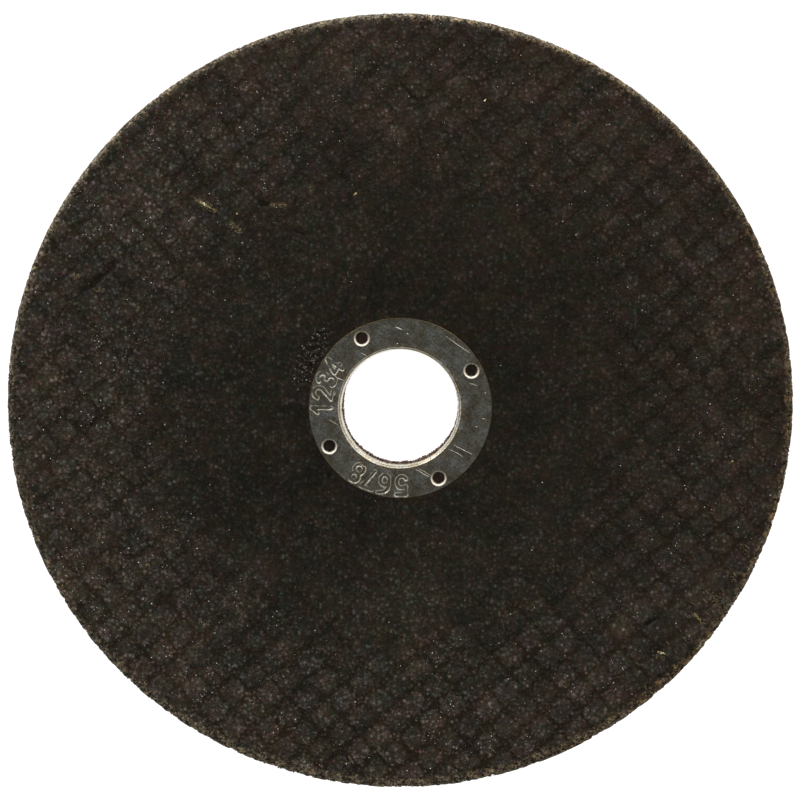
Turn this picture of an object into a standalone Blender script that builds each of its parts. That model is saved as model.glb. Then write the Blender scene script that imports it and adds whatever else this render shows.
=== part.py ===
"""A flat grinding disc: one moulded abrasive body with a pressed steel ring in its bore.

The body is abrasive grain and resin pressed round two layers of glass mesh. The mesh leaves its
square grid in both faces: each strand is a shallow groove, and the mix between the strands stands
up as a flat pillow. The ring is a thin sheet pressing: a flange let into the front face, a rounded
lip and a short sleeve down the bore, with four small holes that let the mix key into the flange.

The disc lies flat, back face on z = 0, bore on the Z axis, ringed face up. Lengths are in metres.
"""
import math

import bmesh
import bpy
from mathutils import Vector
from mathutils.geometry import delaunay_2d_cdt

# Abrasive body
DISC_DIAMETER = 0.150
DISC_THICKNESS = 0.0030
RIM_ROUND_WIDTH = 0.0012  # how far the worn rounding reaches in from the outline
RIM_ROUND_DROP = 0.0007  # how far it reaches down the side wall
BODY_SEGMENTS = 96

# Glass mesh pressed into both faces
MESH_PITCH = 0.00498
MESH_TURN = math.radians(41.3)  # direction across the weft strands, from +X
WARP_WIDTH = 0.0015
WEFT_WIDTH = 0.0011
WARP_OFFSET = 0.00324  # from the axis to the first strand's middle
WEFT_OFFSET = 0.00126
GROOVE_DEPTH = 0.00022
HUB_LAND = 0.0255  # plain flat band between the flange and the first grooves
GROOVE_FADE = 0.0120  # the grooves reach their full depth this far out from the hub land
GROOVE_END_GAP = 0.0004  # a groove ends this far short of the hub land and of the rim

# Arbor ring
ARBOR_BORE_DIAMETER = 0.02223
FLANGE_DIAMETER = 0.0350
SHEET = 0.0005
LIP_RADIUS = 0.00065  # outer radius of the bend from flange to sleeve
FLANGE_STAND = 0.0001  # the flange's top stands this far above the face
FLANGE_EDGE = 0.00012  # bevel round the flange's sheared edge
RING_SEGMENTS = 72

# Keying holes in the flange
HOLE_COUNT = 4
HOLE_DIAMETER = 0.0023
HOLE_EDGE_INSET = 0.0021  # from the flange's edge in to a hole's middle, on a 30.8 mm circle
HOLE_FIRST_ANGLE = math.radians(28.4)
HOLE_ROLL = 0.0004  # width of the rolled edge round each hole
HOLE_LAND = 0.00002  # flat metal left between a rolled edge and the lip or the flange's bevel
HOLE_SEGMENTS = 20

# Fit of the ring in the body
FIT_GAP = 0.0003
SHOULDER_HEIGHT = 0.0006  # lip of mix below the sleeve's end, at the back of the bore
SHOULDER_SETBACK = 0.00005  # the shoulder's bore is this much wider in radius than the sleeve's

DISC_RADIUS = DISC_DIAMETER / 2
BORE_RADIUS = ARBOR_BORE_DIAMETER / 2
FLANGE_RADIUS = FLANGE_DIAMETER / 2
FLAT_INNER_RADIUS = BORE_RADIUS + LIP_RADIUS
HOLE_CIRCLE_RADIUS = max(FLANGE_RADIUS - HOLE_EDGE_INSET, (FLAT_INNER_RADIUS + FLANGE_RADIUS) / 2)
SEAT_RADIUS = FLANGE_RADIUS + FIT_GAP
SEAT_Z = DISC_THICKNESS + FLANGE_STAND - SHEET - FIT_GAP
SLEEVE_SEAT_RADIUS = BORE_RADIUS + SHEET + FIT_GAP
SLEEVE_END_Z = SHOULDER_HEIGHT + FIT_GAP
FLANGE_TOP_Z = DISC_THICKNESS + FLANGE_STAND
QUILT_INNER_RADIUS = SEAT_RADIUS + HUB_LAND
QUILT_OUTER_RADIUS = DISC_RADIUS - RIM_ROUND_WIDTH
MERGE_DISTANCE = 1e-6


def clear_scene():
    for thing in list(bpy.data.objects):
        bpy.data.objects.remove(thing, do_unlink=True)


def principled(name, color, metallic, roughness):
    material = bpy.data.materials.new(name)
    material.use_nodes = True
    shader = material.node_tree.nodes["Principled BSDF"]
    shader.inputs["Base Color"].default_value = (*color, 1.0)
    shader.inputs["Metallic"].default_value = metallic
    shader.inputs["Roughness"].default_value = roughness
    return material


def arc(center_r, center_z, size_r, size_z, start, end, steps):
    """Points of an elliptical arc in the (radius, height) plane, angles in degrees."""
    turns = [math.radians(start + (end - start) * step / steps) for step in range(steps + 1)]
    return [(center_r + size_r * math.cos(t), center_z + size_z * math.sin(t)) for t in turns]


def turn_about_axis(bm, outline, segments, closed):
    """Carry an outline of (radius, height) points once round the Z axis."""
    angles = [2 * math.pi * step / segments for step in range(segments)]
    rings = [[bm.verts.new((r * math.cos(a), r * math.sin(a), z)) for a in angles] for r, z in outline]
    pairs = list(zip(rings, rings[1:]))
    if closed:
        pairs.append((rings[-1], rings[0]))
    for inner, outer in pairs:
        for step in range(segments):
            after = (step + 1) % segments
            bm.faces.new((inner[step], inner[after], outer[after], outer[step]))


def finish_object(name, bm, material, smooth_angle):
    bmesh.ops.remove_doubles(bm, verts=bm.verts, dist=MERGE_DISTANCE)
    bmesh.ops.recalc_face_normals(bm, faces=bm.faces)
    mesh = bpy.data.meshes.new(name)
    bm.to_mesh(mesh)
    bm.free()
    mesh.materials.append(material)
    mesh.shade_smooth()
    mesh.set_sharp_from_angle(angle=smooth_angle)
    made = bpy.data.objects.new(name, mesh)
    bpy.context.collection.objects.link(made)
    return made


def rim_outline():
    """Front edge of the rim to its back edge: rounding, side wall, rounding."""
    inner = QUILT_OUTER_RADIUS
    front_z = DISC_THICKNESS - RIM_ROUND_DROP
    front = arc(inner, front_z, RIM_ROUND_WIDTH, RIM_ROUND_DROP, 90, 0, 3)
    back = arc(inner, RIM_ROUND_DROP, RIM_ROUND_WIDTH, RIM_ROUND_DROP, 0, -90, 3)
    return front + back


def bore_outline():
    """Back hub land up through the bore to the front hub land, with the seats of the ring."""
    shoulder = BORE_RADIUS + SHOULDER_SETBACK
    return [
        (QUILT_INNER_RADIUS, 0.0),
        (shoulder, 0.0),
        (shoulder, SHOULDER_HEIGHT),
        (SLEEVE_SEAT_RADIUS, SHOULDER_HEIGHT),
        (SLEEVE_SEAT_RADIUS, SEAT_Z),
        (SEAT_RADIUS, SEAT_Z),
        (SEAT_RADIUS, DISC_THICKNESS),
        (QUILT_INNER_RADIUS, DISC_THICKNESS),
    ]


def groove_depth(radius):
    """Depth of a groove's bottom: nothing at the hub land, then easing out to the full depth."""
    share = min(max((radius - QUILT_INNER_RADIUS) / GROOVE_FADE, 0.0), 1.0)
    return GROOVE_DEPTH * share * share * (3 - 2 * share)


def mesh_grid():
    """Plan of the grooves: points, the edges that must stay, and the points on groove bottoms.

    Every crossing of two strands gives one bottom point and, half a strand to each side of it,
    the corners of the four pillows that meet there. Bottom lines join neighbouring crossings and
    run on to the rim, and pillow sides join neighbouring corners, wherever they lie on the
    quilted ring.
    """
    across_weft = Vector((math.cos(MESH_TURN), math.sin(MESH_TURN)))
    across_warp = Vector((math.sin(MESH_TURN), -math.cos(MESH_TURN)))
    inner = QUILT_INNER_RADIUS + GROOVE_END_GAP
    outer = QUILT_OUTER_RADIUS - GROOVE_END_GAP
    reach = math.ceil(DISC_RADIUS / MESH_PITCH) + 1
    span = range(-reach, reach + 1)
    points = []
    edges = []
    index_of = {}

    def place(key, along_warp, along_weft, anywhere=False):
        point = across_warp * along_warp + across_weft * along_weft
        if anywhere or inner < point.length < outer:
            index_of[key] = len(points)
            points.append(point)

    def join(first, second):
        if first in index_of and second in index_of:
            edges.append((index_of[first], index_of[second]))

    for row in span:
        for column in span:
            warp = WARP_OFFSET + row * MESH_PITCH
            weft = WEFT_OFFSET + column * MESH_PITCH
            place((row, column), warp, weft)
    for row in span:
        for column in span:
            join((row, column), (row + 1, column))
            join((row, column), (row, column + 1))

    crossings = list(index_of)
    for line in span:
        on_warp = [key for key in crossings if key[0] == line]
        on_weft = [key for key in crossings if key[1] == line]
        for side, last in ((-1, min), (1, max)):
            if on_warp:
                offset = WARP_OFFSET + line * MESH_PITCH
                place(("warp", line, side), offset, side * math.sqrt(outer**2 - offset**2), True)
                join(last(on_warp, key=lambda key: key[1]), ("warp", line, side))
            if on_weft:
                offset = WEFT_OFFSET + line * MESH_PITCH
                place(("weft", line, side), side * math.sqrt(outer**2 - offset**2), offset, True)
                join(last(on_weft, key=lambda key: key[0]), ("weft", line, side))
    bottoms = set(range(len(points)))

    for row in span:
        for column in span:
            for a in (-1, 1):
                for b in (-1, 1):
                    warp = WARP_OFFSET + row * MESH_PITCH + a * WARP_WIDTH / 2
                    weft = WEFT_OFFSET + column * MESH_PITCH + b * WEFT_WIDTH / 2
                    place((row, column, a, b), warp, weft)
    for row in span:
        for column in span:
            for side in (-1, 1):
                join((row, column, 1, side), (row + 1, column, -1, side))
                join((row, column, side, 1), (row, column + 1, side, -1))
    return points, edges, bottoms


def add_quilted_face(bm, grid, face_z, outward):
    """One face between the hub land and the rim, its groove bottoms sunk into the body."""
    points, edges, bottoms = grid
    count = len(points)
    plan = list(points)
    kept = list(edges)
    for radius in (QUILT_INNER_RADIUS, QUILT_OUTER_RADIUS):
        first = len(plan)
        for step in range(BODY_SEGMENTS):
            angle = 2 * math.pi * step / BODY_SEGMENTS
            plan.append(Vector((radius * math.cos(angle), radius * math.sin(angle))))
            kept.append((first + step, first + (step + 1) % BODY_SEGMENTS))
    flat, _, triangles, sources, _, _ = delaunay_2d_cdt(plan, kept, [], 0, 1e-9)
    heights = []
    for point, came_from in zip(flat, sources):
        is_bottom = any(index < count and index in bottoms for index in came_from)
        heights.append(face_z - outward * (groove_depth(point.length) if is_bottom else 0.0))
    verts = [bm.verts.new((p.x, p.y, z)) for p, z in zip(flat, heights)]
    open_middle = QUILT_INNER_RADIUS * math.cos(math.pi / BODY_SEGMENTS)
    for corners in triangles:
        middle = sum((flat[c] for c in corners), Vector((0.0, 0.0))) / 3
        if middle.length > open_middle:
            bm.faces.new([verts[c] for c in corners])
    for vert in [v for v in verts if not v.link_faces]:
        bm.verts.remove(vert)


def make_abrasive_disc():
    bm = bmesh.new()
    turn_about_axis(bm, rim_outline(), BODY_SEGMENTS, closed=False)
    turn_about_axis(bm, bore_outline(), BODY_SEGMENTS, closed=False)
    grid = mesh_grid()
    add_quilted_face(bm, grid, DISC_THICKNESS, 1)
    add_quilted_face(bm, grid, 0.0, -1)
    material = principled("abrasive_mix", (0.024, 0.020, 0.016), 0.0, 0.62)
    return finish_object("abrasive_disc", bm, material, math.radians(3))


def ring_outline():
    """Section of the pressing: flange, bend and sleeve, one sheet thick all the way."""
    top = FLANGE_TOP_Z
    under = top - SHEET
    bend_r = FLAT_INNER_RADIUS
    bend_z = top - LIP_RADIUS
    hollow = LIP_RADIUS - SHEET
    lip = arc(bend_r, bend_z, LIP_RADIUS, LIP_RADIUS, 90, 180, 5)
    inside = arc(bend_r, bend_z, hollow, hollow, 180, 90, 2)
    edge = [
        (FLANGE_RADIUS, under),
        (FLANGE_RADIUS, top - FLANGE_EDGE),
        (FLANGE_RADIUS - FLANGE_EDGE, top),
    ]
    sleeve = [(BORE_RADIUS, SLEEVE_END_Z), (BORE_RADIUS + SHEET, SLEEVE_END_Z)]
    return edge + lip + sleeve + inside


def make_hole_cutter(name):
    """A punch with a flared mouth, which leaves the rolled edge of a keying hole.

    The rolled edge is as wide as the flat metal beside the hole allows.
    """
    radius = HOLE_DIAMETER / 2
    top = FLANGE_TOP_Z
    inner_land = HOLE_CIRCLE_RADIUS - radius - FLAT_INNER_RADIUS
    outer_land = FLANGE_RADIUS - FLANGE_EDGE - HOLE_CIRCLE_RADIUS - radius
    width = min(HOLE_ROLL, min(inner_land, outer_land) - HOLE_LAND)
    roll = [(radius + width * (1 - math.sin(t)), top - width * (1 - math.cos(t)))
            for t in (math.radians(a) for a in (10, 35, 60, 90))]
    bottom_z = top - SHEET - FIT_GAP / 2
    lead_r = roll[0][0] + (roll[0][0] - roll[1][0])
    lead_z = roll[0][1] + (roll[0][1] - roll[1][1])
    wall = [(lead_r, lead_z)] + roll + [(radius, bottom_z)]
    bm = bmesh.new()
    turn_about_axis(bm, wall, HOLE_SEGMENTS, closed=False)
    bmesh.ops.holes_fill(bm, edges=[e for e in bm.edges if e.is_boundary], sides=0)
    bmesh.ops.recalc_face_normals(bm, faces=bm.faces)
    mesh = bpy.data.meshes.new(name)
    bm.to_mesh(mesh)
    bm.free()
    cutter = bpy.data.objects.new(name, mesh)
    bpy.context.collection.objects.link(cutter)
    cutter.hide_render = True
    cutter.display_type = "WIRE"
    return cutter


def make_arbor_ring():
    bm = bmesh.new()
    turn_about_axis(bm, ring_outline(), RING_SEGMENTS, closed=True)
    material = principled("zinced_steel", (0.42, 0.41, 0.37), 1.0, 0.38)
    ring = finish_object("arbor_ring", bm, material, math.radians(35))
    for index in range(HOLE_COUNT):
        angle = HOLE_FIRST_ANGLE + 2 * math.pi * index / HOLE_COUNT
        cutter = make_hole_cutter(f"hole_cutter_{index + 1}")
        cutter.location = (HOLE_CIRCLE_RADIUS * math.cos(angle), HOLE_CIRCLE_RADIUS * math.sin(angle), 0.0)
        cutter.parent = ring
        cut = ring.modifiers.new(f"keying_hole_{index + 1}", "BOOLEAN")
        cut.operation = "DIFFERENCE"
        cut.object = cutter
    return ring


def main():
    clear_scene()
    frame = bpy.data.objects.new("grinding_disc", None)
    bpy.context.collection.objects.link(frame)
    for piece in (make_abrasive_disc(), make_arbor_ring()):
        piece.parent = frame


main()
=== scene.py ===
import math

import bmesh
import bpy
import numpy as np
from mathutils import Matrix, Vector
from mathutils.geometry import delaunay_2d_cdt


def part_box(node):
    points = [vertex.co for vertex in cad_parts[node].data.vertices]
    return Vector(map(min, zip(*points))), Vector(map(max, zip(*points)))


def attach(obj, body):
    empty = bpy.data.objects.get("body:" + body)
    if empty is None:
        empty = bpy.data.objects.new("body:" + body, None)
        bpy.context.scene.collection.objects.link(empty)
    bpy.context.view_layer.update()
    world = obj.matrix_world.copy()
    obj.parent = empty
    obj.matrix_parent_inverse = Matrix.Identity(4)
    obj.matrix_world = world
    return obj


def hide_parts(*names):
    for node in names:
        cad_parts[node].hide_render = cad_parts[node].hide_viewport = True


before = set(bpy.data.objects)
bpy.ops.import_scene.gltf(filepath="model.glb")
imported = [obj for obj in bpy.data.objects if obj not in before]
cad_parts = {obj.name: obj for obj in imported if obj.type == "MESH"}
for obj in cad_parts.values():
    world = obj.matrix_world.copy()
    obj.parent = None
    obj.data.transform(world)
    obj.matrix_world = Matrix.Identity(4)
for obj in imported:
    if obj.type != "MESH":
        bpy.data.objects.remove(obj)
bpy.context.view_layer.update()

# The disc lies on its back face, bore on the Z axis. All lengths are metres.
MM = 0.001
_, body_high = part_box("abrasive_disc")
ring_low, ring_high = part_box("arbor_ring")
DISC_RADIUS = body_high.x
FACE_Z = body_high.z
FLANGE_RADIUS = ring_high.x
FLANGE_TOP = ring_high.z
SLEEVE_END = ring_low.z

# Ring pressing
BORE_RADIUS = 11.115 * MM
SHEET = 0.5 * MM
LIP_RADIUS = 0.65 * MM
SEAT_CLEARANCE = 0.03 * MM
# The flat of the flange lies a little low, so that the lips of its figures reach its top
FLANGE_FLAT = FLANGE_TOP - 0.02 * MM
FLANGE_EDGE_RADIUS = 0.1 * MM
# The lip rolls over in two steps, each with its own radius, and stands wide and off centre
UPPER_LIP_RADIUS = 0.36 * MM
LOWER_LIP_RADIUS = 0.30 * MM
LIP_WIDER = 0.15 * MM
LIP_SHIFT = 0.20 * MM
LIP_SHIFT_TURN = math.radians(134)
HOLE_ANGLES = np.radians(28.4 + 90.0 * np.arange(4))
HOLE_CIRCLE = 15.4 * MM
HOLE_RADIUS = 1.15 * MM

# Glass mesh in the faces
PITCH = 4.98 * MM
MESH_TURN = math.radians(41.3)
WARP_OFFSET = 3.24 * MM
WEFT_OFFSET = 1.26 * MM
WARP_WIDTH = 1.30 * MM
WEFT_WIDTH = 0.95 * MM
GROOVE_DEPTH = 0.20 * MM
STRAND_WANDER = 0.3 * MM
STRAND_WAVER = 0.28 * MM
# Where the gap beside a pillow begins and is full, as a sum of fourth powers that is 1 on its outline
GAP_START = 0.50
GAP_FULL = 1.75
# Radii where the mesh begins to show and shows fully, and where the points of the faces change
QUILT_START = 28.0 * MM
FULL_QUILT = 58.0 * MM
HUB_EDGE = 40.0 * MM
# Seeds for what is random in each face
FRONT_SEED = 41
BACK_SEED = 51

# Rim
RIM_WIDTH = 1.2 * MM
RIM_DROP = 0.7 * MM
QUILT_EDGE = DISC_RADIUS - RIM_WIDTH
RIM_STEPS = 1200
BORE_STEPS = 300
# The back lies this high, so that its highest grit stands on the floor
GRIT_STAND = 0.06 * MM

# Ends of glass strand by the rim: turned so many degrees from the X axis, and all inside this radius
STRAND_LEAN = -54
STRAND_LIMIT = 74.2 * MM

# A point nearer to a circle than this lies on it
SAME_POINT = 0.001 * MM
# Two faces that meet at a sharper angle than this keep a crisp edge
CRISP_ANGLE = math.radians(50)

# Camera of the photograph, a picture 800 pixels square
PICTURE = 800
SENSOR = 36.0
LENS = 157.72
CAMERA_DISTANCE = 670.0 * MM
CAMERA_TILT = math.radians(10.05)
CAMERA_AIM = np.array([-0.05, 1.65, 3.0]) * MM
CAMERA_LIFT = 1.5 * MM

# Pixels of the picture where single marks lie
CHIPPED_PATCH = (311, 357)
CHIPPED_REACH = (3.4 * MM, 7.4 * MM)
# Tears in the face: both ends, reach to the sides, and how black they are, a painted shade in each hollow
GOUGES = (
    ((81, 291), (97, 280), 1.2 * MM, 0.9), ((97, 280), (113, 266), 0.9 * MM, 0.8),
    ((260.5, 203), (263.5, 203.5), 0.65 * MM, 3.0), ((266, 204.5), (268, 205), 0.55 * MM, 3.0),
    ((658.5, 676.5), (662.5, 681), 0.6 * MM, 2.0), ((646.5, 624.5), (655, 620), 0.45 * MM, 1.6),
    ((297, 231), (302, 234), 0.5 * MM, 1.2))
# Torn tufts of strand: both ends, spread to the sides, number of grains, and how pale the palest is
TORN_TUFTS = (
    ((194, 198), (216, 211.5), 0.34 * MM, 130, 0.46), ((199.5, 201), (209.5, 207), 0.10 * MM, 64, 1.5),
    ((269, 204.5), (286, 204), 0.24 * MM, 70, 0.26), ((231, 223), (240, 232), 0.42 * MM, 70, 0.34),
    ((657, 652), (663.5, 652.8), 0.12 * MM, 30, 1.5), ((654, 655), (668, 657), 0.45 * MM, 26, 0.35),
    ((694, 613), (700.5, 621), 0.20 * MM, 44, 0.55), ((673.5, 665), (675, 668), 0.15 * MM, 16, 0.7),
    ((142, 566), (148, 563.5), 0.20 * MM, 18, 0.6), ((73, 273), (80, 276), 0.25 * MM, 22, 0.45),
    ((92, 292), (103, 289), 0.35 * MM, 26, 0.25), ((683, 657), (690, 664), 0.25 * MM, 18, 0.35),
    ((738, 542), (749, 557), 0.34 * MM, 34, 0.34), ((726, 571), (736, 580), 0.40 * MM, 26, 0.30),
    ((706, 590), (720, 606), 0.50 * MM, 56, 0.34), ((700, 621), (709, 629), 0.40 * MM, 26, 0.30))
# Single golden grains
GOLDEN_SPOTS = (
    (354, 194), (355.2, 193), (485, 99), (732, 461), (236.5, 213), (62, 585), (484, 100.2), (311.5, 336))
# Knees of a worn arc of golden dots
DOTTED_ARC = ((393, 223), (371, 234), (366, 242), (356, 255), (344, 280), (338, 293))
# Scratches in the flange: both ends and width
RING_SCRATCHES = (
    ((394.4, 326.3), (402.0, 329.4), 0.24 * MM), ((444.1, 334.9), (471.6, 354.0), 0.09 * MM),
    ((451.8, 443.9), (473.5, 454.8), 0.09 * MM), ((448.0, 448.4), (463.3, 456.7), 0.09 * MM),
    ((414.8, 468.2), (430.1, 477.1), 0.12 * MM), ((418.0, 468.0), (431.5, 475.8), 0.08 * MM),
    ((333.8, 375.7), (344.0, 380.2), 0.13 * MM), ((328.1, 418.4), (338.3, 424.8), 0.09 * MM),
    ((358.7, 463.1), (366.3, 467.5), 0.10 * MM), ((359.9, 352.1), (366.3, 355.3), 0.11 * MM),
    ((468.4, 382.7), (477.3, 385.3), 0.09 * MM), ((481.1, 417.8), (484.9, 418.7), 0.12 * MM),
    ((396.3, 343.6), (397.6, 342.6), 0.20 * MM), ((484.3, 391.8), (485.4, 392.8), 0.20 * MM),
    ((475.2, 425.9), (476.8, 426.7), 0.18 * MM), ((406.4, 332.8), (407.8, 333.8), 0.18 * MM))


def camera_axes():
    """Eye, right, up and forward of the camera: it stands off the axis by the tilt, towards +Y."""
    eye = CAMERA_DISTANCE * np.array([0.0, math.sin(CAMERA_TILT), math.cos(CAMERA_TILT)])
    eye[2] += CAMERA_LIFT
    forward = (CAMERA_AIM - eye) / np.linalg.norm(CAMERA_AIM - eye)
    right = np.cross(forward, [0.0, 1.0, 0.0])
    right /= np.linalg.norm(right)
    return eye, right, np.cross(right, forward), forward


def on_face(pixel):
    """Point of the front face behind a pixel of the picture: the ray through it, cut at the face."""
    eye, right, up, forward = camera_axes()
    scale = SENSOR / LENS / PICTURE
    across, down = pixel[0] + 0.5 - PICTURE / 2, pixel[1] + 0.5 - PICTURE / 2
    ray = forward + across * scale * right - down * scale * up
    return (eye + ray * (FACE_Z - eye[2]) / ray[2])[:2]


def value_noise(x, y, cell, seed):
    """Smooth random height, -1 to 1: random values on a square grid, eased between by 3t^2 - 2t^3.

    The grid is turned by an angle of its own for each seed, so that no two layers line up.
    """
    table = np.random.default_rng(seed).uniform(-1, 1, (256, 256))
    gx = (x * math.cos(seed) - y * math.sin(seed)) / cell + 1000.0
    gy = (x * math.sin(seed) + y * math.cos(seed)) / cell + 1000.0
    ix, iy = np.floor(gx).astype(int), np.floor(gy).astype(int)
    tx, ty = gx - ix, gy - iy
    tx, ty = tx * tx * (3 - 2 * tx), ty * ty * (3 - 2 * ty)
    near = table[ix % 256, iy % 256] * (1 - tx) + table[(ix + 1) % 256, iy % 256] * tx
    far = table[ix % 256, (iy + 1) % 256] * (1 - tx) + table[(ix + 1) % 256, (iy + 1) % 256] * tx
    return near * (1 - ty) + far * ty


def ease(low, high, value):
    """0 below low, 1 above high, 3t^2 - 2t^3 between."""
    t = np.clip((value - low) / (high - low), 0, 1)
    return t * t * (3 - 2 * t)


def weave(x, y):
    """Place on the mesh, in pitches, across the warp and across the weft: whole numbers on strands."""
    warp = x * math.sin(MESH_TURN) - y * math.cos(MESH_TURN) - WARP_OFFSET
    weft = x * math.cos(MESH_TURN) + y * math.sin(MESH_TURN) - WEFT_OFFSET
    warp = warp + STRAND_WANDER * value_noise(x, y, 21 * MM, 5) + STRAND_WAVER * value_noise(x, y, 7 * MM, 7)
    weft = weft + STRAND_WANDER * value_noise(x, y, 17 * MM, 6) + STRAND_WAVER * value_noise(x, y, 7 * MM, 8)
    return warp / PITCH, weft / PITCH


def mesh_gap(warp, weft):
    """How far a point lies over the strands: 0 on the pillows, which are squares with round corners.

    The outline of a pillow is the curve on which the fourth powers of the two ways from its middle,
    each as a share of its half width, add up to 1.
    """
    along = np.abs(warp - np.floor(warp) - 0.5) / (0.5 - 0.5 * WARP_WIDTH / PITCH)
    across = np.abs(weft - np.floor(weft) - 0.5) / (0.5 - 0.5 * WEFT_WIDTH / PITCH)
    return ease(GAP_START, GAP_FULL, along ** 4 + across ** 4)


def pillow_tone(x, y, seed):
    """A random number for each pillow of the mesh, -1 to 1, fading into the hub."""
    warp, weft = np.floor(weave(x, y)).astype(int)
    table = np.random.default_rng(seed).uniform(-1, 1, (64, 64))
    return table[warp % 64, weft % 64] * quilt_strength(x, y, seed)


def quilt_strength(x, y, seed):
    """How plainly the mesh shows: not on the hub, fully near the rim, by patches, most at lower right."""
    radius = np.hypot(x, y)
    patches = 0.70 + 0.14 * value_noise(x, y, 14 * MM, seed) + 0.24 * value_noise(x, y, 4 * MM, seed + 1)
    patches = patches + 0.11 * (x - y) / DISC_RADIUS
    return ease(QUILT_START, FULL_QUILT, radius) * np.clip(patches, 0.05, 1.05)


def chipped(x, y):
    """How far a point lies in the chipped patch beside the ring, 1 in its middle and 0 outside."""
    middle = on_face(CHIPPED_PATCH)
    lean = 0.35 * (y - middle[1])
    aside = (x - middle[0] - lean) / CHIPPED_REACH[0]
    up = (y - middle[1]) / CHIPPED_REACH[1]
    return 1 - ease(0.35, 1.0, np.hypot(aside, up))


def segment_distance(x, y, start, end):
    """Distance from points to a straight piece: to the share of its length that lies nearest."""
    run_x, run_y = end[0] - start[0], end[1] - start[1]
    past_x, past_y = x - start[0], y - start[1]
    share = np.clip((past_x * run_x + past_y * run_y) / (run_x ** 2 + run_y ** 2), 0, 1)
    return np.hypot(past_x - share * run_x, past_y - share * run_y)


def gouge_depth(x, y):
    """Tears in the face, 0 to 1: deepest along the line of each, 0 at its reach, with ragged sides."""
    depth = np.zeros_like(x)
    for first, second, reach, strength in GOUGES:
        off = segment_distance(x, y, on_face(first), on_face(second))
        ragged = off + 0.3 * reach * value_noise(x, y, 0.8 * MM, 12)
        depth = np.maximum(depth, strength * (1 - ease(0.1 * reach, reach, ragged)))
    return np.minimum(depth, 1)


def flange_bank(x, y):
    """Mix banked up against the flange at upper left, level with its top, and not at lower right."""
    radius, turn = np.hypot(x, y), np.arctan2(y, x)
    side = 0.5 + 0.5 * np.cos(turn - math.radians(125))
    return side * (1 - ease(0, 3 * MM, radius - FLANGE_RADIUS))


def face_relief(x, y, seed, marked=False):
    """Height of a face over its plane: grooves along the strands, slight swells, and coarse grit.

    The marked face also has the pits of the chipped patch, the tears and the bank at the flange.
    """
    warp, weft = weave(x, y)
    strength = quilt_strength(x, y, seed)
    sunk = mesh_gap(warp, weft)
    radius = np.hypot(x, y)
    outer = ease(22 * MM, FULL_QUILT, radius)
    height = 0.020 * MM * value_noise(x, y, 6 * MM, seed + 2) * outer
    height = height + (0.008 + 0.014 * outer) * MM * value_noise(x, y, 0.7 * MM, seed + 3)
    if marked:
        pits = ease(0.05, 0.8, value_noise(x, y, 0.75 * MM, 14)) * chipped(x, y)
        height = height - 0.38 * MM * pits - 0.20 * MM * gouge_depth(x, y) + 0.085 * MM * flange_bank(x, y)
    edge = ease(0, 0.5 * MM, QUILT_EDGE - radius)
    return height * edge - GROOVE_DEPTH * strength * sunk * (0.4 + 0.6 * edge)


def front_height(x, y):
    """Height of the front face over the floor."""
    return FACE_Z + face_relief(x, y, FRONT_SEED, marked=True)


def even_turns(steps):
    """Turns that share a circle evenly, from +X towards +Y."""
    return 2 * math.pi * np.arange(steps) / steps


def circle(radius, steps):
    """Points that share a circle evenly, in plan."""
    turns = even_turns(steps)
    return np.stack([radius * np.cos(turns), radius * np.sin(turns)], 1)


def triangular_grid(spacing, reach):
    """Points of a triangular grid, a set distance apart, over a square that reaches so far out."""
    rows = np.arange(-reach, reach, spacing * math.sqrt(3) / 2)
    x, y = np.meshgrid(np.arange(-reach, reach, spacing), rows)
    x = x + 0.5 * spacing * (np.arange(len(rows)) % 2)[:, None]
    return np.stack([x.ravel(), y.ravel()], 1)


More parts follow.
